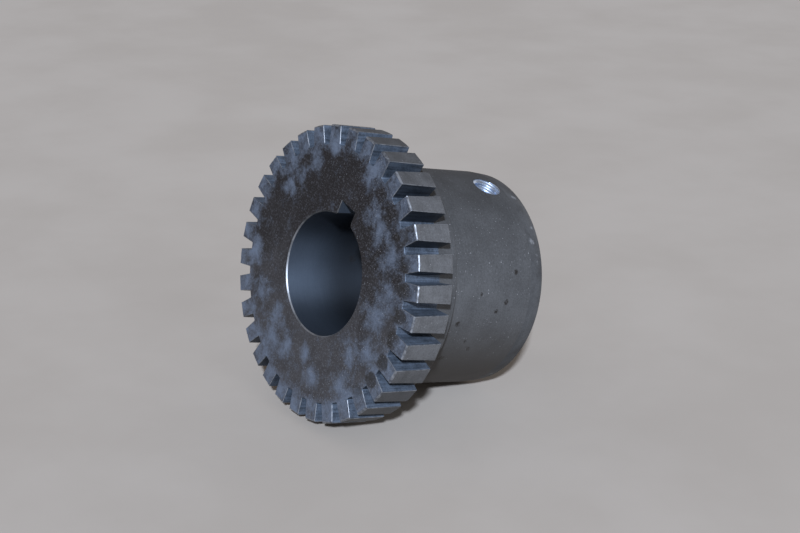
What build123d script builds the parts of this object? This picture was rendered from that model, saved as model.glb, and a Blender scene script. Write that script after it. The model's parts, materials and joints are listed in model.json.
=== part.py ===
from build123d import *
import math
import os

# One half of a toothed flexible coupling: a steel hub and its set screw. Millimetres.
# The bore runs along Y through the origin, which is halfway along the hub. The toothed face
# looks towards -Y and the plain end towards +Y. +Z is up as the hub lies on its side.

# Hub body
hub_length = 50.8
bore_radius = 15.875
bore_edge = 0.3
rim_radius = 38.0
rim_thickness = 10.8
rim_front_edge = 0.45
rim_back_edge = 0.25
shoulder_radius = 32.6
shoulder_length = 6.1
shoulder_edge = 0.35
barrel_radius = 28.575
root_fillet = 1.0
end_taper_length = 5.0
end_taper_drop = 0.4
end_edge = 0.8

# Slots between the teeth: flat floors, with flanks that open outwards and towards the face
tooth_count = 32
slot_floor_radius = 33.0
slot_floor_width = 1.95
slot_mouth_width_front = 3.42
slot_mouth_width_back = 2.72
slot_edge = 0.12
first_tooth_angle = 13.3

# Keyway and the tapped hole over it, by how far each leans from +Z towards +X
key_angle = 15.1
keyway_width = 6.35
keyway_floor_radius = 19.7
keyway_break = 0.55
hole_angle = 18.2
tapped_hole_from_end = 9.525
thread_radius = 3.969

# Set screw: cup point, hexagon socket
screw_radius = 3.9
screw_length = 6.35
screw_tip_below_keyway = 1.2
screw_edge = 0.6
cup_radius = 2.0
cup_depth = 0.9
point_radius = 2.9
socket_across_flats = 3.969
socket_depth = 3.2

overrun = 1.0

face_y = -hub_length / 2
end_y = hub_length / 2
rim_back_y = face_y + rim_thickness
shoulder_back_y = rim_back_y + shoulder_length
tapped_hole_y = end_y - tapped_hole_from_end


def turned_blank():
    """The hub as it comes off the lathe: bore, rim, shoulder and barrel, with their edge breaks."""
    taper_radius = barrel_radius - end_taper_drop
    with BuildSketch(Plane.XY) as half_section:
        with BuildLine():
            Polyline(
                (bore_radius, face_y + bore_edge),
                (bore_radius + bore_edge, face_y),
                (rim_radius - rim_front_edge, face_y),
                (rim_radius, face_y + rim_front_edge),
                (rim_radius, rim_back_y - rim_back_edge),
                (rim_radius - rim_back_edge, rim_back_y),
                (shoulder_radius, rim_back_y),
                (shoulder_radius, shoulder_back_y - shoulder_edge),
            )
            RadiusArc(
                (shoulder_radius, shoulder_back_y - shoulder_edge),
                (shoulder_radius - shoulder_edge, shoulder_back_y),
                -shoulder_edge,
            )
            Line(
                (shoulder_radius - shoulder_edge, shoulder_back_y),
                (barrel_radius + root_fillet, shoulder_back_y),
            )
            RadiusArc(
                (barrel_radius + root_fillet, shoulder_back_y),
                (barrel_radius, shoulder_back_y + root_fillet),
                root_fillet,
            )
            Polyline(
                (barrel_radius, shoulder_back_y + root_fillet),
                (barrel_radius, end_y - end_taper_length),
                (taper_radius, end_y - end_edge),
                (taper_radius - end_edge, end_y),
                (bore_radius + bore_edge, end_y),
                (bore_radius, end_y - bore_edge),
                (bore_radius, face_y + bore_edge),
            )
        make_face()
    return revolve(half_section.sketch, Axis.Y)


def slot_section(y, floor_width, mouth_width, floor_radius):
    """A trapezium across one slot at height y, running out past the rim."""
    half_floor = floor_width / 2
    spread = (mouth_width - floor_width) / 2 / (rim_radius - slot_floor_radius)
    half_top = half_floor + spread * (rim_radius + overrun - floor_radius)
    return Plane((0, y, 0), x_dir=(1, 0, 0), z_dir=(0, -1, 0)) * make_face(
        Polyline(
            (-half_floor, floor_radius),
            (-half_top, rim_radius + overrun),
            (half_top, rim_radius + overrun),
            (half_floor, floor_radius),
            close=True,
        )
    )


def slot_cutter():
    """The metal taken out between two teeth, centred on +Z, with the break along its front edges."""
    narrowing = (slot_mouth_width_front - slot_mouth_width_back) / rim_thickness
    front = slot_section(
        face_y - overrun,
        slot_floor_width,
        slot_mouth_width_front + narrowing * overrun,
        slot_floor_radius,
    )
    back = slot_section(
        rim_back_y + overrun,
        slot_floor_width,
        slot_mouth_width_back - narrowing * overrun,
        slot_floor_radius,
    )
    edge_front = slot_section(
        face_y - overrun,
        slot_floor_width + 2 * (slot_edge + overrun),
        slot_mouth_width_front + 2 * (slot_edge + overrun),
        slot_floor_radius - slot_edge - overrun,
    )
    edge_back = slot_section(
        face_y + slot_edge,
        slot_floor_width,
        slot_mouth_width_front,
        slot_floor_radius,
    )
    return loft([front, back], ruled=True) + loft([edge_front, edge_back], ruled=True)


def keyway_cutter():
    """A keyway along the whole bore, centred on +Z, with its corners at the bore broken."""
    half = keyway_width / 2
    break_top = math.sqrt(bore_radius**2 - half**2) + keyway_break
    spread = keyway_break + overrun
    section = make_face(
        Polyline(
            (half, keyway_floor_radius),
            (half, break_top),
            (half + spread, break_top - spread),
            (-half - spread, break_top - spread),
            (-half, break_top),
            (-half, keyway_floor_radius),
            close=True,
        )
    )
    length = hub_length + 2 * overrun
    return Pos(0, length / 2, 0) * extrude(Plane.XZ * section, length)


def tapped_hole_cutter():
    """The set screw's hole, at its thread's full diameter, from the bore out, along +Z."""
    depth = barrel_radius - bore_radius + 2 * overrun
    return Pos(0, 0, bore_radius - overrun + depth / 2) * Cylinder(thread_radius, depth)


def build_hub():
    hub = turned_blank()
    slot = slot_cutter()
    pitch = 360 / tooth_count
    slots = [Rot(0, first_tooth_angle + pitch * (i + 0.5), 0) * slot for i in range(tooth_count)]
    hub = hub - slots
    hub = hub - Rot(0, key_angle, 0) * keyway_cutter()
    return hub - Rot(0, hole_angle, 0) * Pos(0, tapped_hole_y, 0) * tapped_hole_cutter()


def build_set_screw():
    """A socket set screw in its tapped hole, run in until its cup stands in the keyway."""
    top = screw_length
    point_height = screw_radius - point_radius
    with BuildSketch(Plane.XZ) as half_section:
        with BuildLine():
            Polyline(
                (0, cup_depth),
                (cup_radius, 0),
                (point_radius, 0),
                (screw_radius, point_height),
                (screw_radius, top - screw_edge),
                (screw_radius - screw_edge, top),
                (0, top),
                (0, cup_depth),
            )
        make_face()
    screw = revolve(half_section.sketch, Axis.Z)
    socket_radius = socket_across_flats / 2 / math.cos(math.pi / 6)
    socket_floor = Plane((0, 0, top - socket_depth))
    socket = extrude(socket_floor * RegularPolygon(socket_radius, 6), socket_depth + overrun)
    seat = keyway_floor_radius - screw_tip_below_keyway
    return Rot(0, hole_angle, 0) * Pos(0, tapped_hole_y, seat) * (screw - socket)


parts = {"hub": build_hub(), "set_screw": build_set_screw()}

os.makedirs("parts", exist_ok=True)
for name, shape in parts.items():
    export_step(shape, f"parts/{name}.step")
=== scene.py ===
"""Looks for one half of a toothed coupling: a steel hub and its set screw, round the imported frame.

Lengths are in millimetres until a mesh is made, and MM turns them into metres. The bore lies along
Y through the origin, with the toothed face towards -Y. Angles run from +Z towards +X.
"""
import json
import math

import bmesh
import bpy
import numpy as np
from mathutils import Matrix, Vector, noise


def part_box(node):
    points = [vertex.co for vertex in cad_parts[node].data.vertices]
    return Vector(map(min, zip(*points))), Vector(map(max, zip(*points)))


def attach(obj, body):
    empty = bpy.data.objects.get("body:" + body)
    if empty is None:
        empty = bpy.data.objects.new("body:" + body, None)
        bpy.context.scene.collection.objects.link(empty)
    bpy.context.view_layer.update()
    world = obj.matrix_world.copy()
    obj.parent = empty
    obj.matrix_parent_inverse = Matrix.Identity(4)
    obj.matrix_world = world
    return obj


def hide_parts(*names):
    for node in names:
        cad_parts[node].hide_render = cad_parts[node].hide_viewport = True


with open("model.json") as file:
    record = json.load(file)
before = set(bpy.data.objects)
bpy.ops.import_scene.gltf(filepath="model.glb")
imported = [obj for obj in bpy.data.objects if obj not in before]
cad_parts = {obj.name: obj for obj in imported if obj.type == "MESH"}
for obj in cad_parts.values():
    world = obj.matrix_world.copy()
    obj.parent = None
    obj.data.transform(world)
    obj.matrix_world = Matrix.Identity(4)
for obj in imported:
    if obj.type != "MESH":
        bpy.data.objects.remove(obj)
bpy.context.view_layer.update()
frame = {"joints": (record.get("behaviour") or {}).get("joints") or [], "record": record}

MM = 0.001


def node_box(node):
    """The lowest and highest corner of a CAD node, in millimetres."""
    return [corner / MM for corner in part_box(node)]


hub_low, hub_high = node_box("hub")
screw_low, screw_high = node_box("set_screw")
bore_mount = next(m for m in frame["record"]["mounts"] if m["name"] == "bore")
hole_axis = Vector(frame["joints"][0]["axis"]).normalized()

# Hub body, from the frame
face_y, end_y = hub_low.y, hub_high.y
rim_radius = (hub_high.x - hub_low.x) / 2
bore_radius = bore_mount["dims"]["r_mm"]
hole_angle = math.atan2(hole_axis.x, hole_axis.z)
hole_y = (screw_low.y + screw_high.y) / 2

# Hub body, as in the CAD source
bore_edge = 0.3
rim_thickness = 10.8
rim_front_edge = 0.45
rim_back_edge = 0.25
shoulder_radius = 32.6
shoulder_length = 6.1
shoulder_edge = 0.35
barrel_radius = 28.575
root_fillet = 1.0
end_taper_length = 5.0
end_taper_drop = 0.4
end_edge = 0.8
tooth_count = 32
slot_floor_radius = 33.0
slot_floor_width = 1.95
slot_mouth_front = 3.42
slot_mouth_back = 2.72
slot_front_edge = 0.12
slot_back_edge = 0.1
first_tooth_angle = math.radians(13.3)
key_angle = math.radians(15.1)
keyway_width = 6.35
keyway_floor_radius = 19.7
keyway_break = 0.55
keyway_edge = 0.08

# Steps of the outline round a slot and a tooth
corner_steps = 3
flank_shares = (0.25, 0.45, 0.65, 0.85)
land_steps = 6

# Rounding that the edges have from tumbling and handling
slot_root_round = 0.35
tooth_corner_round = 0.14
break_wear = 0.35
end_round_in, end_round_along = 0.12, 0.14

# Thread of the tapped hole and the screw: 5/16 in, 18 threads per inch
thread_pitch = 25.4 / 18
thread_radius = 3.969
thread_crest_radius = 3.32
hole_mouth_radius = 3.75
thread_play = 0.06
thread_root_flat = thread_pitch / 16

# Set screw
screw_radius = 3.9
screw_root_radius = 3.2
screw_length = 6.35
screw_edge = 0.6
screw_point_radius = 2.9
screw_cup_radius = 2.0
screw_cup_depth = 0.9
socket_across_flats = 3.969
socket_depth = 3.2
socket_drill_point = 0.7
socket_edge = 0.25

rim_back_y = face_y + rim_thickness
shoulder_back_y = rim_back_y + shoulder_length
tooth_pitch = 2 * math.pi / tooth_count
screw_middle = (screw_low + screw_high) / 2
screw_tip = screw_middle.dot(hole_axis) - screw_length / 2
screw_top = screw_tip + screw_length
socket_corner_radius = socket_across_flats / 2 / math.cos(math.pi / 6)


# ---------------------------------------------------------------- mesh helpers


def curve_corner(start, corner, end):
    """Points along a soft corner, from start to end."""
    points = []
    for i in range(corner_steps + 1):
        t = i / corner_steps
        points.append(start * (1 - t) ** 2 + corner * (2 * t * (1 - t)) + end * t**2)
    return points


def linked(name, mesh):
    """A new object with this mesh, in the scene."""
    piece = bpy.data.objects.new(name, mesh)
    bpy.context.scene.collection.objects.link(piece)
    return piece


def mesh_from(name, points, faces, materials=(), indices=None):
    """A mesh in metres from points in millimetres, with its normals facing out."""
    mesh = bpy.data.meshes.new(name)
    mesh.from_pydata([Vector(p) * MM for p in points], [], faces)
    for material in materials:
        mesh.materials.append(material)
    if indices is not None:
        mesh.polygons.foreach_set("material_index", indices)
    work = bmesh.new()
    work.from_mesh(mesh)
    bmesh.ops.recalc_face_normals(work, faces=work.faces)
    work.to_mesh(mesh)
    work.free()
    return mesh


def cut(piece, cutter):
    """Takes the cutter's solid out of the piece, and removes the cutter."""
    modifier = piece.modifiers.new("cut", "BOOLEAN")
    modifier.operation = "DIFFERENCE"
    modifier.solver = "EXACT"
    modifier.material_mode = "TRANSFER"
    modifier.object = cutter
    graph = bpy.context.evaluated_depsgraph_get()
    mesh = bpy.data.meshes.new_from_object(piece.evaluated_get(graph), depsgraph=graph)
    piece.modifiers.remove(modifier)
    old = piece.data
    piece.data = mesh
    bpy.data.meshes.remove(old)
    spare = cutter.data
    bpy.data.objects.remove(cutter)
    bpy.data.meshes.remove(spare)


def smooth(piece, sharp_angle):
    """Smooth shading that stays crisp at edges sharper than sharp_angle, in degrees."""
    piece.data.shade_smooth()
    piece.data.set_sharp_from_angle(angle=math.radians(sharp_angle))
    modifier = piece.modifiers.new("weighted", "WEIGHTED_NORMAL")
    modifier.keep_sharp = True


# ---------------------------------------------------------------- hub


def outline_half(depth, rim_inset, slot_inset):
    """(across, out) from a slot's centre round its flank to the next tooth's centre, at one depth
    behind the face. The insets draw the rim and the slot's walls back into the metal."""
    radius = rim_radius - rim_inset
    mouth = slot_mouth_front + (slot_mouth_back - slot_mouth_front) * depth / rim_thickness
    slope = (mouth - slot_floor_width) / 2 / (rim_radius - slot_floor_radius)
    floor = slot_floor_radius - slot_inset
    start = slot_floor_width / 2 + slot_inset * math.hypot(1, slope) - slope * slot_floor_radius
    square = 1 + slope**2
    out = math.sqrt((start * slope) ** 2 - square * (start**2 - radius**2)) - start * slope
    foot = Vector((start + slope * floor, floor))
    corner = Vector((start + slope * out / square, out / square))
    up_flank = (corner - foot).normalized()
    land_start = math.atan2(corner.x, corner.y) + tooth_corner_round / radius
    on_land = Vector((math.sin(land_start), math.cos(land_start))) * radius
    points = [Vector((0, floor)), Vector((foot.x * 0.4, floor))]
    root_start = foot - Vector((slot_root_round, 0))
    points += curve_corner(root_start, foot, foot + up_flank * slot_root_round)
    points += [foot.lerp(corner, share) for share in flank_shares]
    points += curve_corner(corner - up_flank * tooth_corner_round, corner, on_land)
    for i in range(1, land_steps + 1):
        angle = land_start + (tooth_pitch / 2 - land_start) * i / land_steps
        points.append(Vector((math.sin(angle), math.cos(angle))) * radius)
    return points


def half_column_kinds():
    """What each gap between the outline's points is."""
    floor, flank = 2 + corner_steps, len(flank_shares) + 1
    return ["floor"] * floor + ["flank"] * flank + ["corner"] * corner_steps + ["land"] * land_steps


half_count = len(half_column_kinds())
slot_columns = [(-1, i) for i in range(half_count, 0, -1)] + [(1, i) for i in range(half_count)]
column_count = len(slot_columns) * tooth_count
first_slot_angle = first_tooth_angle + tooth_pitch / 2
even_angles = (
    first_slot_angle
    - tooth_pitch / 2
    + np.arange(column_count) * 2 * math.pi / column_count
)
column_noise = np.array(
    [noise.noise(Vector((math.sin(a), math.cos(a), 0)) * 60) for a in even_angles]
)


def ring_of(half):
    """(angles, radii) of every column round the hub, from one half of one slot."""
    angles, radii = [], []
    for slot in range(tooth_count):
        centre = first_slot_angle + slot * tooth_pitch
        for side, i in slot_columns:
            angles.append(centre + side * math.atan2(half[i].x, half[i].y))
            radii.append(half[i].length)
    return np.array(angles), np.array(radii)


def column_edges(land_edge, slot_edge):
    """Each column's edge break: its width, from slot to land, and how far it has worn."""
    corner = half_column_kinds().index("corner")
    shares = [min(max((i - corner) / corner_steps, 0), 1) for i in range(half_count + 1)]
    widths = [slot_edge + (land_edge - slot_edge) * share for share in shares]
    widths = np.array([widths[i] for _, i in slot_columns] * tooth_count)
    return widths, 1 + break_wear * column_noise


def rim_row(depth, inset_share, depth_share, land_edge, slot_edge, back=False):
    """One row round the toothed outline. The shares place it on the edge break's profile."""
    full = outline_half(depth, 0, 0)
    drawn_in = outline_half(depth, land_edge, slot_edge)
    widths, wear = column_edges(land_edge, slot_edge)
    angles, radii = ring_of(full)
    in_angles, in_radii = ring_of(drawn_in)
    share = inset_share * wear
    away = depth_share * widths * wear
    y = face_y + depth + (-away if back else away)
    return angles + (in_angles - angles) * share, radii + (in_radii - radii) * share, y


def round_row(radius, y, angles=even_angles):
    """One round row at y."""
    return angles, np.full(column_count, radius), np.full(column_count, y)


def keyway_corners(radius, grow):
    """Half the keyway's section as angles from its middle: its floor's corner, the top of its
    broken corner, and where that meets a bore of this radius; then its half width and its floor,
    and the break's line, as the sum of its places across and out."""
    half, floor = keyway_width / 2 + grow, keyway_floor_radius + grow
    break_top = math.sqrt(bore_radius**2 - half**2) + keyway_break + grow
    line = half + break_top
    foot = (line - math.sqrt(2 * radius**2 - line**2)) / 2
    angles = [math.atan2(half, floor), math.atan2(half, break_top), math.asin(foot / radius)]
    return angles, half, floor, line


def bore_row(y, radius, grow):
    """One row round the bore and its keyway. grow widens the keyway for its edge break. The same
    columns lie on the keyway's corners in every row."""
    nominal, *_ = keyway_corners(bore_radius, 0)
    wanted, half, floor, line = keyway_corners(radius, grow)
    lean = (even_angles - key_angle + math.pi) % (2 * math.pi) - math.pi
    reach = math.radians(25)
    before = [lean[np.argmin(abs(lean - a))] for a in [-a for a in nominal[::-1]] + nominal]
    after = [-a for a in wanted[::-1]] + wanted
    moved = np.interp(lean, [-reach, *before, reach], [-reach, *after, reach])
    lean = np.where(abs(lean) < reach, moved, lean)
    turn = np.clip(abs(lean), 1e-6, reach)
    side = np.maximum(half / np.sin(turn), line / (np.sin(turn) + np.cos(turn)))
    key = np.where(turn <= wanted[0] + 1e-9, floor / np.cos(turn), side)
    radii = np.where(abs(lean) < wanted[2], np.maximum(key, radius), radius)
    return lean + key_angle, radii, np.full(column_count, y)


def hub_rows():
    """Every row of the hub's mesh, round its section from the bore's front edge back to it, each
    with what the surface after it is."""
    front_profile = [(1, 0), (0.72, 0.08), (0.08, 0.72), (0, 1)]
    back_profile = [(0, 1), (0.5, 0.2), (1, 0)]
    base_angles = ring_of(outline_half(rim_thickness / 2, 0, 0))[0]
    rows = [(bore_row(face_y, bore_radius + bore_edge, keyway_edge), "face")]
    face_radii = (21.5, 26, 30)
    rows += [(round_row(radius, face_y), "face") for radius in face_radii]
    rows.append((round_row(slot_floor_radius - 1, face_y, base_angles), "face"))
    for i, (inset, depth) in enumerate(front_profile):
        surface = "edge" if i < len(front_profile) - 1 else "rim"
        rows.append((rim_row(0, inset, depth, rim_front_edge, slot_front_edge), surface))
    for share in (0.25, 0.5, 0.75):
        rows.append((rim_row(rim_thickness * share, 0, 0, rim_front_edge, slot_front_edge), "rim"))
    for inset, depth in back_profile:
        row = rim_row(rim_thickness, inset, depth, rim_back_edge, slot_back_edge, back=True)
        rows.append((row, "rim" if depth == 0 else "back_edge"))
    rows[-1] = (rows[-1][0], "rim_back")
    rows.append((round_row(shoulder_radius, rim_back_y, base_angles), "shoulder"))
    rows += turned_rows()
    for share in (0.85, 0.7, 0.5, 0.3):
        radius = bore_radius + bore_edge + (barrel_radius - bore_radius) * share * 0.9
        rows.append((round_row(radius, end_y), "end"))
    rows.append((bore_row(end_y, bore_radius + bore_edge, keyway_edge), "bore_edge"))
    inner = bore_radius + bore_edge - keyway_edge
    rows.append((bore_row(end_y - keyway_edge, inner, 0), "bore_edge"))
    steps = 12
    for i in range(steps + 1):
        y = end_y - bore_edge + (face_y - end_y + 2 * bore_edge) * i / steps
        rows.append((bore_row(y, bore_radius, 0), "bore" if i < steps else "bore_edge"))
    rows.append((bore_row(face_y + keyway_edge, inner, 0), "bore_edge"))
    return rows


def turned_rows():
    """The shoulder, the fillet behind it, the barrel and its tapered end."""
    profile = []
    for i in range(5):
        turn = math.radians(90) * i / 4
        radius = shoulder_radius - shoulder_edge * (1 - math.cos(turn))
        profile.append((radius, shoulder_back_y - shoulder_edge * (1 - math.sin(turn)), "shoulder"))
    for i in range(5):
        turn = math.radians(90) * i / 4
        radius = barrel_radius + root_fillet * (1 - math.sin(turn))
        profile.append((radius, shoulder_back_y + root_fillet * (1 - math.cos(turn)), "barrel"))
    taper_y = end_y - end_taper_length
    barrel_start = shoulder_back_y + root_fillet
    steps = 14
    for i in range(1, steps + 1):
        profile.append((barrel_radius, barrel_start + (taper_y - barrel_start) * i / steps, "barrel"))
    profile[-1] = (*profile[-1][:2], "band")
    taper_radius = barrel_radius - end_taper_drop
    for share in (0.5, 0.97):
        along = (end_taper_length - end_edge) * share
        profile.append((barrel_radius - end_taper_drop * share, taper_y + along, "band"))
    profile += [
        (taper_radius - end_round_in, end_y - end_edge + end_round_along, "band"),
        (taper_radius - end_edge + end_round_along, end_y - end_round_in, "band"),
        (taper_radius - end_edge, end_y, "end"),
    ]
    return [(round_row(radius, y), surface) for radius, y, surface in profile]


def surface_of(row_surface, column_kind):
    """The material that a face takes from its row and its column."""
    in_slot = column_kind in ("floor", "flank")
    if row_surface == "rim" and column_kind == "corner":
        return "edge_breaks"
    if row_surface in ("rim", "back_edge"):
        return "slot_walls" if in_slot else "tooth_lands"
    if row_surface == "edge":
        return "slot_walls" if column_kind == "floor" else "edge_breaks"
    return {
        "face": "toothed_face",
        "rim_back": "turned_barrel",
        "shoulder": "turned_barrel",
        "barrel": "turned_barrel",
        "band": "end_band",
        "end": "plain_end",
        "bore_edge": "bore_edges",
        "bore": "bore_wall",
    }[row_surface]


def hub_blank(materials):
    """The hub without its tapped hole, as a closed grid of rows and columns."""
    rows = hub_rows()
    names = list(materials)
    points, faces, indices = [], [], []
    for (angles, radii, ys), _ in rows:
        for angle, radius, y in zip(angles, radii, ys):
            points.append((radius * math.sin(angle), y, radius * math.cos(angle)))
    kinds = half_column_kinds()
    kinds = (kinds[::-1] + kinds) * tooth_count
    for r, (_, surface) in enumerate(rows):
        below, above = r * column_count, (r + 1) % len(rows) * column_count
        for c in range(column_count):
            n = (c + 1) % column_count
            faces.append((below + c, below + n, above + n, above + c))
            indices.append(names.index(surface_of(surface, kinds[c])))
    mesh = mesh_from("hub_body", points, faces, materials.values(), indices)
    return linked("hub_body", mesh)


# ---------------------------------------------------------------- threads and screw

cutter_overrun, hole_overrun = 1.0, 1.6


def thread_wave(height, turn):
    """Distance along the hole from the nearest thread root, for a right-hand thread."""
    phase = (height / thread_pitch - turn / (2 * math.pi)) % 1
    return abs(phase - 0.5) * thread_pitch


def hole_radius(height, turn):
    """The tapped thread, with its crests worn round, and its broken mouth."""
    swing = 0.5 + 0.5 * math.cos(2 * math.pi * thread_wave(height, turn) / thread_pitch)
    thread = thread_crest_radius + (thread_radius - thread_crest_radius) * swing
    return max(thread, min(hole_mouth_radius - barrel_radius + height, thread_radius))


def screw_side_radius(height, turn):
    """The screw's 60 degree thread, its chamfered top and the slope round its cup."""
    flank_depth = math.sqrt(3) * (thread_wave(height, turn) + thread_play - thread_root_flat)
    thread = min(max(thread_radius - flank_depth, screw_root_radius), screw_radius)
    above_tip, below_top = height - screw_tip, screw_top - height
    return min(thread, screw_point_radius + above_tip, screw_radius - screw_edge + below_top)


def upright_lathe(name, rings, material, turns=96):
    """A closed solid round the hole's axis from rings of (radius function, height), with a point
    at each end."""
    to_place = hole_frame()
    points, faces = [], []
    for radius, height in rings:
        for i in range(turns):
            turn = 2 * math.pi * i / turns
            reach = radius(height, turn) if callable(radius) else radius
            points.append(to_place @ Vector((reach * math.cos(turn), reach * math.sin(turn), height)))
    for r in range(len(rings) - 1):
        for i in range(turns):
            n = (i + 1) % turns
            faces.append((r * turns + i, r * turns + n, (r + 1) * turns + n, (r + 1) * turns + i))
    for ring, height in ((0, rings[0][1]), (len(rings) - 1, rings[-1][1])):
        centre = len(points)
        points.append(to_place @ Vector((0, 0, height)))
        for i in range(turns):
            faces.append((ring * turns + i, ring * turns + (i + 1) % turns, centre))
    return linked(name, mesh_from(name, points, faces, [material]))


def hole_frame():
    """Turns local (across, along the bore, out) into the hub's frame at the tapped hole."""
    turn = Matrix.Rotation(hole_angle, 4, "Y")
    return Matrix.Translation((0, hole_y, 0)) @ turn


def heights(start, end, step):
    """Even heights from start to end, at most step apart."""
    count = math.ceil((end - start) / step)
    return [start + (end - start) * i / count for i in range(count + 1)]


def thread_cutter(material):
    """The tapped hole, from inside the bore to outside the barrel."""
    low, high = bore_radius - hole_overrun, barrel_radius + cutter_overrun
    rings = [(hole_radius, height) for height in heights(low, high, thread_pitch / 18)]
    return upright_lathe("thread_cutter", rings, material)


def socket_cutter(material):
    """A hexagon prism with a pointed floor, in three hexagons from the point up."""
    floor = screw_top - socket_depth
    point = 0.01
    levels = [
        (point, floor - socket_drill_point),
        (socket_corner_radius, floor),
        (socket_corner_radius, screw_top + cutter_overrun),
    ]
    points, faces = [], []
    for radius, height in levels:
        for i in range(6):
            turn = math.pi / 3 * i
            corner = Vector((radius * math.cos(turn), radius * math.sin(turn), height))
            points.append(hole_frame() @ corner)
    for start in (0, 6):
        for i in range(6):
            n = (i + 1) % 6
            faces.append((start + i, start + n, start + 6 + n, start + 6 + i))
    faces += [tuple(range(6)), tuple(range(12, 18))]
    return linked("socket_cutter", mesh_from("socket_cutter", points, faces, [material]))


def socket_mouth_cutter(material):
    """The small cone that breaks the socket's edge, at 45 degrees."""
    rim = socket_corner_radius + socket_edge
    below, above = 1.2, 0.5
    rings = [(rim - below, screw_top - below), (rim + above, screw_top + above)]
    return upright_lathe("socket_mouth_cutter", rings, material, turns=72)


def build_hub(materials):
    """The hub with its tapped hole."""
    hub = hub_blank(materials)
    cut(hub, thread_cutter(materials["thread"]))
    smooth(hub, 32)
    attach(hub, "hub")
    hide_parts("hub")
    return hub


def build_screw(material):
    """The set screw: cup, thread, chamfered top and hexagon socket."""
    cup_floor, inset, gap = 0.3, 0.05, 0.02
    rings = [(cup_floor, screw_tip + screw_cup_depth), (screw_cup_radius, screw_tip)]
    rings.append((screw_point_radius - inset, screw_tip))
    sides = heights(screw_tip + gap, screw_top - gap, thread_pitch / 20)
    rings += [(screw_side_radius, height) for height in sides]
    rings.append((screw_radius - screw_edge - inset, screw_top))
    screw = upright_lathe("set_screw_body", rings, material)
    cut(screw, socket_cutter(material))
    cut(screw, socket_mouth_cutter(material))
    smooth(screw, 32)
    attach(screw, "set_screw")
    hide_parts("set_screw")
    return screw


# ---------------------------------------------------------------- materials


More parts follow.
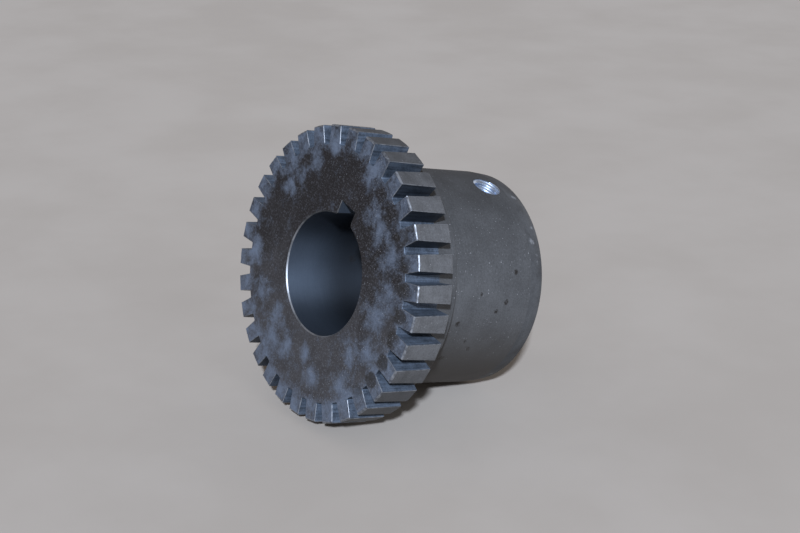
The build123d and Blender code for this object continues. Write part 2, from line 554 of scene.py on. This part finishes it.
class Surface:
    """One material, with short calls for its nodes. Places are in millimetres, in the hub's frame."""

    def __init__(self, name, metallic=0.5, specular=0.5):
        self.material = bpy.data.materials.new(name)
        self.material.use_nodes = True
        self.tree = self.material.node_tree
        self.shader = self.tree.nodes["Principled BSDF"]
        self.shader.inputs["Metallic"].default_value = metallic
        self.shader.inputs["Specular IOR Level"].default_value = specular
        place = self.add("ShaderNodeTexCoord").outputs["Object"]
        self.place = self.stretch(place, (1 / MM, 1 / MM, 1 / MM))

    def add(self, kind, inputs=None, **settings):
        """A new node, with its inputs plugged in and its settings set."""
        node = self.tree.nodes.new(kind)
        for name, value in settings.items():
            setattr(node, name, value)
        for key, value in (inputs or {}).items():
            self.plug(node.inputs[key], value)
        return node

    def plug(self, socket, value):
        """Links the socket to value, or sets it, when value is a plain number or colour."""
        if isinstance(value, bpy.types.NodeSocket):
            self.tree.links.new(value, socket)
        else:
            socket.default_value = value

    def stretch(self, place, scale):
        """A place times a scale on each axis."""
        node = self.add("ShaderNodeVectorMath", {0: place, 1: scale}, operation="MULTIPLY")
        return node.outputs[0]

    def math(self, operation, a, b=0.0, c=0.0):
        """The result of one math node."""
        node = self.add("ShaderNodeMath", {0: a, 1: b, 2: c}, operation=operation)
        return node.outputs[0]

    def noise(self, size, detail=3.0, rough=0.55, shape=(1, 1, 1), offset=0.0, twist=0.0):
        """Soft noise from 0 to 1, with features about size millimetres across."""
        place = self.stretch(self.place, tuple(s / size for s in shape))
        if offset:
            shifted = {0: place, 1: (offset, offset * 0.7, -offset)}
            place = self.add("ShaderNodeVectorMath", shifted, operation="ADD").outputs[0]
        inputs = {"Vector": place, "Scale": 1.0, "Detail": detail, "Roughness": rough,
                  "Distortion": twist}
        return self.add("ShaderNodeTexNoise", inputs).outputs[0]

    def step(self, value, low, high, start=0.0, end=1.0):
        """A smooth step of value between low and high, from start to end."""
        inputs = {"Value": value, "From Min": low, "From Max": high, "To Min": start, "To Max": end}
        node = self.add("ShaderNodeMapRange", inputs, interpolation_type="SMOOTHSTEP")
        return node.outputs[0]

    def specks(self, spacing, radius, share, offset=0.0):
        """Small dots, some brighter than others, on about that share of cells spacing apart."""
        place = self.stretch(self.place, (1 / spacing,) * 3)
        shifted = {0: place, 1: (offset, -offset, offset)}
        place = self.add("ShaderNodeVectorMath", shifted, operation="ADD").outputs[0]
        cells = self.add("ShaderNodeTexVoronoi", {"Vector": place, "Scale": 1.0}, feature="F1")
        picked = self.add("ShaderNodeSeparateColor", {0: cells.outputs["Color"]}).outputs
        chosen = self.math("LESS_THAN", picked[0], share)
        dot = self.step(cells.outputs["Distance"], radius / spacing, radius / spacing * 0.3)
        bright = self.math("POWER", picked[1], 2.0)
        return self.math("MULTIPLY", self.math("MULTIPLY", dot, chosen), bright)

    def spot(self, centre, size, ragged, edge=0.5):
        """A soft spot round centre, with a ragged edge."""
        away = self.add("ShaderNodeVectorMath", {0: self.place, 1: centre}, operation="DISTANCE")
        uneven = self.math("MULTIPLY_ADD", self.math("SUBTRACT", ragged, 0.5), size * 2.2,
                           away.outputs["Value"])
        return self.step(uneven, size, size * edge)

    def total(self, *terms):
        """The sum of (value, weight) terms."""
        result = 0.0
        for value, weight in terms:
            result = self.math("MULTIPLY_ADD", value, weight, result)
        return result

    def blend(self, share, first, second):
        """first where share is 0, second where it is 1."""
        node = self.add("ShaderNodeMix", {0: share, 6: first, 7: second}, data_type="RGBA")
        return node.outputs[2]

    def facing(self, low, high):
        """A step from 0 to 1 as the surface's normal goes from low to high up the Z axis, as a mask
        for painted shade.
        """
        normal = self.add("ShaderNodeTexCoord").outputs["Normal"]
        up = self.add("ShaderNodeSeparateXYZ", {0: normal}).outputs["Z"]
        return self.step(up, low, high)

    def underside(self):
        """1 where the surface faces down as the hub lies, and 0 where it faces up or sideways: the
        mask for painted shade below.
        """
        return self.facing(0.05, -0.8)

    def paint_shade(self, colour, share, least):
        """Painted shade: the colour times least where share is 1."""
        shade = self.step(share, 0.0, 1.0, 1.0, least)
        node = self.add("ShaderNodeVectorMath", {0: colour, 3: shade}, operation="SCALE")
        return node.outputs[0]

    def polar(self):
        """(angle from +Z towards +X, radius) of the point round the bore."""
        parts = self.add("ShaderNodeSeparateXYZ", {0: self.place}).outputs
        angle = self.math("ARCTAN2", parts["X"], parts["Z"])
        across = self.math("POWER", parts["X"], 2.0)
        radius = self.math("SQRT", self.math("ADD", across, self.math("POWER", parts["Z"], 2.0)))
        return angle, radius

    def turned(self, amount):
        """Stretches reflections across the turning marks that run round the bore's axis."""
        marks = self.add("ShaderNodeTangent", direction_type="RADIAL", axis="Y").outputs[0]
        self.plug(self.shader.inputs["Tangent"], marks)
        self.shader.inputs["Anisotropic"].default_value = amount
        self.shader.inputs["Anisotropic Rotation"].default_value = 0.25

    def finish(self, colour, roughness, height=None, bump=0.3, depth=0.02):
        """Plugs the looks into the shader. depth is the bump's height in millimetres."""
        self.plug(self.shader.inputs["Base Color"], colour)
        self.plug(self.shader.inputs["Roughness"], roughness)
        if height is not None:
            inputs = {"Height": height, "Strength": bump, "Distance": depth * MM}
            normal = self.add("ShaderNodeBump", inputs).outputs[0]
            self.plug(self.shader.inputs["Normal"], normal)
        return self.material


def on_face(angle, radius):
    """A point of the toothed face, from an angle in degrees and a radius."""
    turn = math.radians(angle)
    return (radius * math.sin(turn), face_y, radius * math.cos(turn))


def on_barrel(angle, y, radius=barrel_radius):
    """A point at y on the barrel, or on another round surface, from an angle in degrees."""
    turn = math.radians(angle)
    return (radius * math.sin(turn), y, radius * math.cos(turn))


# Cloudy rubs on the toothed face: angle in degrees, radius, size
face_rubs = [
    (-50, 27, 4.2), (-39, 28, 5.5), (-24, 29, 4.0), (-8, 32, 3.0),
    (-136, 23, 4.5), (-143, 28, 5.0), (-157, 25, 4.5), (-177, 22, 3.0), (174, 27, 4.0),
    (132, 23.5, 5.0), (118, 27, 5.5), (147, 29, 5.0), (100, 24, 5.5), (86, 26.5, 5.5),
    (66, 27, 5.5), (52, 26, 5.5), (38, 26, 5.0), (23, 30, 4.5), (-95, 30, 4.5), (-115, 27, 4.5),
]
# Small dark pits and smudges on the barrel: angle in degrees, place along Y, size
barrel_pits = [
    (98.9, -2.3, 0.9), (87.1, 12.4, 0.9), (83.1, 3.5, 0.6), (114.4, 5.0, 0.8),
    (109.5, 2.6, 0.6), (71.4, 15.1, 0.85), (92.0, 9.6, 0.8), (121.2, -2.0, 1.1),
    (-60.0, 2.0, 0.8), (-120.0, 9.0, 1.0), (170.0, 3.0, 0.9),
]
# Bright rubs and knocks along the tapered end: angle in degrees, place along Y, size
band_rubs = [
    (26.2, 22.6, 1.0), (54.6, 22.0, 1.1), (46.7, 23.4, 0.7), (61.8, 23.1, 0.6),
    (66.0, 23.0, 0.6), (-40.0, 22.4, 1.2), (140.0, 22.5, 1.0), (-110.0, 23.0, 0.9),
]
# Dark stains deep on the bore's wall: angle in degrees, place along Y, size
bore_stains = [(-64.8, -5.0, 2.2), (-90.3, -4.4, 2.0), (-78.0, -2.0, 1.6), (70.0, 4.0, 1.8)]


def toothed_face_material():
    """Ground face: dark, oily film with wispy rubs, bright grit and stains at some teeth's roots."""
    s = Surface("toothed_face", metallic=0.35, specular=0.2)
    cloud = s.noise(8.0, detail=6.0, rough=0.62)
    wisps = s.noise(4.0, detail=9.0, rough=0.72, offset=9.0, twist=0.3)
    grain = s.noise(0.5, detail=3.0, rough=0.8, offset=3.0)
    rubs = 0.0
    for angle, radius, size in face_rubs:
        rubs = s.math("MAXIMUM", rubs, s.spot(on_face(angle, radius), size * 1.3, 0.5, edge=0.1))
    angle, radius = s.polar()
    tips = s.step(radius, slot_floor_radius - 4.0, slot_floor_radius + 1.5)
    height = s.add("ShaderNodeSeparateXYZ", {0: s.place}).outputs["Z"]
    low = s.step(height, 20.0, -20.0)
    field = s.total((wisps, 0.85), (rubs, 0.21), (tips, 0.2), (low, 0.035), (grain, 0.22))
    rubbed = s.step(field, 0.56, 0.93)
    tone = s.step(s.total((cloud, 0.6), (low, 0.4), (grain, 0.5)), 0.5, 1.2)
    colour = s.blend(tone, (0.0235, 0.0215, 0.023, 1), (0.083, 0.082, 0.089, 1))
    colour = s.blend(rubbed, colour, (0.158, 0.196, 0.268, 1))
    stain = s.math("MULTIPLY", root_stain(s, angle, radius, wisps), s.step(cloud, 0.36, 0.56))
    colour = s.blend(s.math("MULTIPLY", stain, 0.8), colour, (0.03, 0.027, 0.025, 1))
    colour = s.blend(s.step(grain, 0.52, 0.75, 0.0, 0.5), colour, (0.17, 0.18, 0.21, 1))
    across = s.add("ShaderNodeSeparateXYZ", {0: s.place}).outputs["X"]
    bright = s.total((s.specks(0.42, 0.14, 0.5), 1.0), (s.specks(0.9, 0.17, 0.35, offset=5.0), 1.0))
    bright = s.math("MULTIPLY", bright, s.step(across, -24.0, 20.0, 0.12, 1.0))
    colour = s.blend(bright, colour, (0.42, 0.44, 0.48, 1))
    roughness = s.total((cloud, 0.1), (grain, 0.16), (0.42, 1.0))
    return s.finish(colour, roughness, s.total((grain, 1.0), (bright, 0.5)), bump=0.6, depth=0.06)


def root_stain(s, angle, radius, ragged):
    """Round stains at the roots of the teeth on the +X side."""
    turns = s.math("DIVIDE", s.math("SUBTRACT", angle, first_tooth_angle), tooth_pitch)
    phase = s.add("ShaderNodeMath", {0: turns, 1: -0.5, 2: 0.5}, operation="WRAP").outputs[0]
    across = s.math("MULTIPLY", s.math("MULTIPLY", phase, tooth_pitch), radius)
    out = s.math("SUBTRACT", radius, slot_floor_radius - 0.2)
    away = s.math("SQRT", s.math("ADD", s.math("POWER", across, 2.0), s.math("POWER", out, 2.0)))
    away = s.math("MULTIPLY_ADD", s.math("SUBTRACT", ragged, 0.5), 2.4, away)
    middle = s.math("ABSOLUTE", s.math("SUBTRACT", angle, math.radians(95)))
    nearby = s.step(middle, math.radians(58), math.radians(30))
    return s.math("MULTIPLY", s.step(away, 2.7, 1.7), nearby)


def edge_material():
    """Edges worn to bare metal, with painted shade where they face down."""
    s = Surface("edge_breaks", metallic=0.75)
    patchy = s.noise(0.9, detail=3.0, rough=0.6)
    long = s.noise(5.0, detail=2.0, offset=5.0)
    tone = s.step(s.total((patchy, 0.6), (long, 0.4)), 0.36, 0.6)
    colour = s.blend(tone, (0.13, 0.142, 0.165, 1), (0.34, 0.365, 0.41, 1))
    roughness = s.total((patchy, 0.16), (0.34, 1.0))
    # painted shade: darker where the edge faces down
    return s.finish(s.paint_shade(colour, s.underside(), 0.7), roughness, patchy, bump=0.4, depth=0.04)


def land_material():
    """Turned tops of the teeth: warm grey with fine grain and bright grit, and painted shade on the
    lands that face up and on those that face down.
    """
    s = Surface("tooth_lands", metallic=0.4, specular=0.3)
    patch = s.noise(3.5, detail=3.0)
    grain = s.noise(0.42, detail=3.0, rough=0.8, offset=2.0)
    rings = s.noise(0.3, detail=2.0, shape=(0.04, 1, 0.04))
    tone = s.total((patch, 0.4), (grain, 0.6), (rings, 0.1))
    colour = s.blend(s.step(tone, 0.35, 0.8), (0.112, 0.115, 0.122, 1), (0.215, 0.224, 0.242, 1))
    colour = s.blend(s.specks(0.7, 0.15, 0.4), colour, (0.45, 0.46, 0.48, 1))
    roughness = s.total((grain, 0.14), (patch, 0.08), (0.42, 1.0))
    height = s.total((grain, 0.8), (rings, 0.3))
    # painted shade: darker on lands that face up and on lands that face down
    colour = s.paint_shade(colour, s.facing(0.55, 1.0), 0.72)
    return s.finish(s.paint_shade(colour, s.underside(), 0.5), roughness, height, bump=0.4, depth=0.03)


def slot_material():
    """Broached slots: dark blue-grey with marks along the cut, and painted shade on the undersides.
    """
    s = Surface("slot_walls", metallic=0.4, specular=0.3)
    marks = s.noise(0.5, detail=2.0, rough=0.6, shape=(1, 0.05, 1))
    patch = s.noise(2.2, detail=3.0, rough=0.6, offset=4.0)
    grain = s.noise(0.45, detail=3.0, rough=0.75, offset=7.0)
    tone = s.step(s.total((marks, 0.4), (patch, 0.3), (grain, 0.35)), 0.38, 0.66)
    colour = s.blend(tone, (0.055, 0.07, 0.095, 1), (0.152, 0.196, 0.268, 1))
    roughness = s.total((patch, 0.12), (marks, 0.1), (0.38, 1.0))
    height = s.total((marks, 0.8), (grain, 0.5))
    # painted shade: the slot walls that face down are darkened
    return s.finish(s.paint_shade(colour, s.underside(), 0.26), roughness, height, bump=0.5, depth=0.04)


def barrel_material():
    """Barrel and shoulder: satin grey, grit and dark pits, with a painted warm brown shade below and
    painted shade on top.
    """
    s = Surface("turned_barrel", metallic=0.35, specular=0.25)
    patch = s.noise(9.0, detail=3.0)
    grain = s.noise(0.5, detail=3.0, rough=0.8, offset=1.0)
    rings = s.noise(0.4, detail=2.0, shape=(0.03, 1, 0.03), offset=2.0)
    tone = s.total((patch, 0.4), (grain, 0.5), (rings, 0.1))
    colour = s.blend(s.step(tone, 0.36, 0.68), (0.085, 0.088, 0.094, 1), (0.14, 0.146, 0.157, 1))
    bright = s.total((s.specks(1.0, 0.2, 0.4), 0.9), (s.specks(0.6, 0.15, 0.4, offset=4.0), 0.6))
    colour = s.blend(bright, colour, (0.5, 0.52, 0.56, 1))
    ragged = s.noise(0.7, detail=4.0, rough=0.85, offset=6.0)
    pits = 0.0
    for angle, y, size in barrel_pits:
        pits = s.math("MAXIMUM", pits, s.spot(on_barrel(angle, y), size, ragged))
    pits = s.math("MULTIPLY", pits, s.step(grain, 0.36, 0.52))
    colour = s.blend(pits, colour, (0.032, 0.029, 0.028, 1))
    roughness = s.total((patch, 0.12), (grain, 0.1), (pits, 0.12), (0.5, 1.0))
    height = s.total((grain, 0.9), (rings, 0.2), (pits, -2.0))
    # painted shade: a warm brown where the barrel faces down, and darker where it faces up
    colour = s.blend(s.underside(), colour, (0.06, 0.055, 0.051, 1))
    colour = s.paint_shade(colour, s.facing(0.4, 1.0), 0.76)
    return s.finish(colour, roughness, height, bump=0.4, depth=0.04)


def band_material():
    """Tapered end of the barrel: the same grey, rubbed and knocked, with painted shade below."""
    s = Surface("end_band", metallic=0.35, specular=0.25)
    patch = s.noise(5.0, detail=4.0)
    grain = s.noise(0.5, detail=3.0, rough=0.8, offset=1.0)
    rings = s.noise(0.4, detail=2.0, shape=(0.03, 1, 0.03), offset=2.0)
    tone = s.total((patch, 0.5), (grain, 0.4), (rings, 0.1))
    colour = s.blend(s.step(tone, 0.36, 0.68), (0.075, 0.078, 0.085, 1), (0.13, 0.138, 0.15, 1))
    ragged = s.noise(0.9, detail=3.0, rough=0.7, offset=6.0)
    rubs = 0.0
    for angle, y, size in band_rubs:
        rubs = s.math("MAXIMUM", rubs, s.spot(on_barrel(angle, y), size, ragged, edge=0.2))
    colour = s.blend(s.math("MULTIPLY", rubs, 0.5), colour, (0.4, 0.42, 0.46, 1))
    roughness = s.total((patch, 0.16), (grain, 0.1), (0.44, 1.0))
    height = s.total((grain, 0.9), (rings, 0.3))
    # painted shade: darker where the band faces down
    return s.finish(s.paint_shade(colour, s.underside(), 0.5), roughness, height, bump=0.4, depth=0.04)


def plain_end_material():
    """Faced end: cleaner grey, with the tool's marks round it and a few cloudy rubs."""
    s = Surface("plain_end", metallic=0.5, specular=0.4)
    s.turned(0.4)
    _, radius = s.polar()
    marks = s.add("ShaderNodeTexNoise", {"W": radius, "Scale": 2.6, "Detail": 3.0},
                  noise_dimensions="1D").outputs[0]
    cloud = s.noise(7.0, detail=6.0, rough=0.7, offset=3.0)
    grain = s.noise(0.5, detail=3.0, rough=0.8, offset=1.0)
    tone = s.step(s.total((cloud, 0.5), (marks, 0.3), (grain, 0.25)), 0.4, 0.66)
    colour = s.blend(tone, (0.15, 0.155, 0.165, 1), (0.29, 0.3, 0.32, 1))
    roughness = s.total((cloud, 0.16), (marks, 0.1), (0.34, 1.0))
    height = s.total((marks, 1.0), (grain, 0.4))
    return s.finish(colour, roughness, height, bump=0.4, depth=0.04)


def bore_material():
    """Bored wall: smooth blue-grey, with painted shade towards its middle, its top and its bottom."""
    s = Surface("bore_wall", metallic=0.7)
    s.turned(0.6)
    rings = s.noise(0.25, detail=2.0, shape=(0.03, 1, 0.03))
    patch = s.noise(9.0, detail=3.0, offset=2.0)
    grain = s.noise(0.5, detail=2.0, offset=8.0)
    tone = s.step(s.total((patch, 0.5), (grain, 0.2), (rings, 0.3)), 0.3, 0.7)
    colour = s.blend(tone, (0.102, 0.133, 0.182, 1), (0.124, 0.161, 0.22, 1))
    # painted shade: the wall darkens deeper inside the bore
    along = s.add("ShaderNodeSeparateXYZ", {0: s.place}).outputs["Y"]
    inside = s.step(s.math("ABSOLUTE", along), 23.0, 3.0)
    ragged = s.noise(1.4, detail=3.0, rough=0.65, offset=6.0)
    stains = 0.0
    for angle, y, size in bore_stains:
        spot = s.spot(on_barrel(angle, y, bore_radius), size, ragged, edge=-0.2)
        stains = s.math("MAXIMUM", stains, spot)
    # painted shade: darker deep inside, at the top, which faces down, and at the bottom, which faces
    # up
    colour = s.paint_shade(s.paint_shade(colour, inside, 0.28), s.underside(), 0.35)
    colour = s.paint_shade(colour, s.facing(0.45, 0.95), 0.6)
    colour = s.blend(s.math("MULTIPLY", stains, 0.7), colour, (0.02, 0.018, 0.018, 1))
    roughness = s.total((patch, 0.06), (stains, 0.15), (0.46, 1.0))
    height = s.total((rings, 1.0), (grain, 0.3))
    return s.finish(colour, roughness, height, bump=0.2, depth=0.02)


def bore_edge_material():
    """The turned break round each end of the bore, bright and smooth, with painted shade where it
    faces down.
    """
    s = Surface("bore_edges", metallic=0.85)
    rings = s.noise(0.3, detail=2.0)
    patch = s.noise(4.0, detail=3.0, offset=2.0)
    colour = s.blend(s.step(patch, 0.4, 0.6), (0.22, 0.24, 0.27, 1), (0.36, 0.38, 0.42, 1))
    roughness = s.total((rings, 0.08), (0.34, 1.0))
    # painted shade: darker where the edge faces down
    return s.finish(s.paint_shade(colour, s.underside(), 0.3), roughness, rings, bump=0.2, depth=0.02)


def thread_material():
    """Tapped thread: clean cut metal."""
    s = Surface("thread", metallic=0.95)
    cloud = s.noise(1.2, detail=2.0)
    colour = s.blend(s.step(cloud, 0.35, 0.65), (0.5, 0.58, 0.72, 1), (0.6, 0.68, 0.8, 1))
    return s.finish(colour, s.total((cloud, 0.08), (0.38, 1.0)), cloud, bump=0.1, depth=0.02)


def screw_material():
    """Plated screw, a little dulled."""
    s = Surface("screw_plating", metallic=0.9)
    cloud = s.noise(1.5, detail=3.0)
    grain = s.noise(0.25, detail=2.0, offset=4.0)
    tone = s.step(s.total((cloud, 0.7), (grain, 0.3)), 0.36, 0.64)
    colour = s.blend(tone, (0.3, 0.31, 0.33, 1), (0.5, 0.51, 0.53, 1))
    return s.finish(colour, s.total((cloud, 0.15), (0.22, 1.0)), grain, bump=0.25, depth=0.02)


def floor_material():
    """Plain, pale, matt floor with faint clouds."""
    s = Surface("floor", metallic=0.0, specular=0.0)
    cloud = s.noise(60.0, detail=4.0)
    colour = s.blend(s.step(cloud, 0.3, 0.7), (0.5, 0.455, 0.41, 1), (0.54, 0.495, 0.45, 1))
    return s.finish(colour, s.total((cloud, 0.1), (0.8, 1.0)))


def hub_materials():
    """The hub's materials, by the names that surface_of gives."""
    return {
        "toothed_face": toothed_face_material(),
        "edge_breaks": edge_material(),
        "tooth_lands": land_material(),
        "slot_walls": slot_material(),
        "turned_barrel": barrel_material(),
        "end_band": band_material(),
        "plain_end": plain_end_material(),
        "bore_wall": bore_material(),
        "bore_edges": bore_edge_material(),
        "thread": thread_material(),
    }


# ---------------------------------------------------------------- camera, floor and light

# The hub lies on its rim's back edge and its barrel's end edge, so the floor is tilted to both
rim_contact = Vector((0, rim_back_y - rim_back_edge, -rim_radius))
end_contact = Vector((0, end_y - end_edge, -(barrel_radius - end_taper_drop)))
floor_slope = math.atan2(end_contact.z - rim_contact.z, end_contact.y - rim_contact.y)
floor_normal = Vector((0, -math.sin(floor_slope), math.cos(floor_slope)))
floor_half_size = 6000
floor_gap = 0.03

camera_lens, camera_film_width = 74, 36
camera_azimuth, camera_elevation, camera_distance = 49.6, 12.06, 434.3
camera_aim = Vector((-0.67, -0.06, 2.15))


def direction(azimuth, elevation):
    """Unit vector towards azimuth (0 is -Y, 90 is +X) and elevation, in degrees."""
    a, e = math.radians(azimuth), math.radians(elevation)
    return Vector((math.sin(a) * math.cos(e), -math.cos(a) * math.cos(e), math.sin(e)))


def looking(place, target, up):
    """A matrix at place whose -Z looks at target, with its Y towards up."""
    back = (place - target).normalized()
    right = up.cross(back).normalized()
    turn = Matrix((right, back.cross(right), back)).transposed()
    return Matrix.Translation(place) @ turn.to_4x4()


def add_camera():
    """The camera, level with the floor."""
    data = bpy.data.cameras.new("camera")
    data.sensor_width = camera_film_width
    data.lens = camera_lens
    data.clip_start, data.clip_end = 0.01, 50
    camera = bpy.data.objects.new("camera", data)
    aim = camera_aim * MM
    away = direction(camera_azimuth, camera_elevation) * camera_distance * MM
    camera.matrix_world = looking(aim + away, aim, floor_normal)
    bpy.context.scene.collection.objects.link(camera)
    bpy.context.scene.camera = camera


def add_floor():
    """The floor, just under the hub."""
    along = Vector((1, 0, 0))
    back = floor_normal.cross(along)
    middle = rim_contact - floor_normal * floor_gap
    points = [middle + along * floor_half_size * a + back * floor_half_size * b
              for a, b in ((-1, -1), (1, -1), (1, 1), (-1, 1))]
    floor = linked("floor", mesh_from("floor", points, [(0, 1, 2, 3)], [floor_material()]))


def add_light(name, azimuth, elevation, away, size, watts, colour):
    """A rectangular light, away metres from the origin, aimed at it."""
    data = bpy.data.lights.new(name, "AREA")
    data.shape = "RECTANGLE"
    data.size, data.size_y = size
    data.energy = watts
    data.color = colour
    light = bpy.data.objects.new(name, data)
    light.matrix_world = looking(direction(azimuth, elevation) * away, Vector(), Vector((0, 0, 1)))
    bpy.context.scene.collection.objects.link(light)


def add_world():
    """An even, pale sky."""
    world = bpy.data.worlds.new("world")
    world.use_nodes = True
    background = world.node_tree.nodes["Background"]
    background.inputs["Color"].default_value = (0.74, 0.67, 0.64, 1)
    background.inputs["Strength"].default_value = 0.27
    bpy.context.scene.world = world


def add_lights():
    """A small, far key light and three weak lights that fill the shadows."""
    add_light("key", 45.9, 22.5, 32.0, (1.6, 1.6), 13600.0, (0.78, 0.865, 1.0))
    add_light("right", 85, 30, 1.6, (0.9, 0.9), 2.0, (0.8, 0.9, 1.0))
    add_light("left", -60, 25, 1.8, (1.4, 1.0), 0.5, (1.0, 0.93, 0.84))
    add_light("back", 190, 20, 2.2, (1.6, 0.4), 3.2, (1.0, 0.95, 0.88))


add_camera()
add_floor()
add_world()
add_lights()
build_hub(hub_materials())
build_screw(screw_material())
bpy.context.scene.view_settings.view_transform = "Standard"
